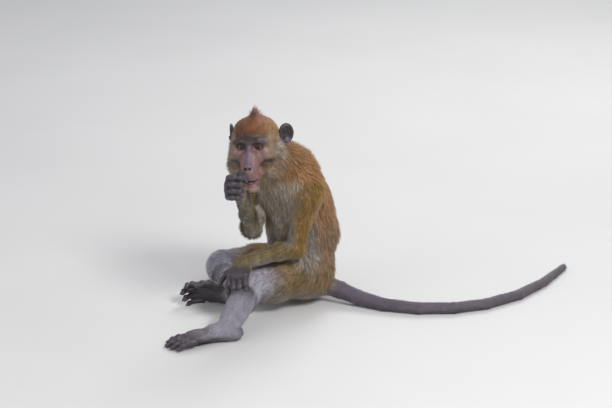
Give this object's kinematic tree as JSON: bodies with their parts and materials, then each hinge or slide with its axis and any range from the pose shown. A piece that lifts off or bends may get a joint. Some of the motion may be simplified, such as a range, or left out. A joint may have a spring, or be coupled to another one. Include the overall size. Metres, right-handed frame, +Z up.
{
  "type": "long-tailed macaque",
  "caption": "Life-size still model of a macaque monkey sitting on the ground, one leg out, one folded, hand raised to its mouth.",
  "frame": {"origin": "middle of the bounding box's lowest face, on the floor that the animal sits on", "axes": "+X towards the tip of the tail and away from the feet, -Y towards the side that the face looks to, +Z up"},
  "size_m": [0.6406, 0.3568, 0.3417],
  "materials": {
    "coat_brown": "matt brown fur",
    "coat_grey": "matt grey fur",
    "bare_skin": "dark bare skin",
    "face_skin": "bare pinkish skin",
    "eye": "wet amber"
  },
  "bodies": {
    "root": {"skull": "coat_brown", "jaw": "face_skin", "neck": "coat_brown", "chest": "coat_brown", "abdomen": "coat_grey", "pelvis": "coat_brown", "ear_left": "bare_skin", "ear_right": "bare_skin", "eye_left": "eye", "eye_right": "eye", "upper_arm_left": "coat_brown", "upper_arm_right": "coat_brown", "forearm_left": "coat_brown", "forearm_right": "coat_brown", "hand_left": "bare_skin", "hand_right": "bare_skin", "thigh_left": "coat_brown", "thigh_right": "coat_brown", "shin_left": "coat_grey", "shin_right": "coat_grey", "foot_left": "bare_skin", "foot_right": "bare_skin", "tail_1": "coat_grey", "tail_2": "coat_grey", "tail_3": "coat_grey", "tail_4": "coat_grey"}
  },
  "joints": []
}
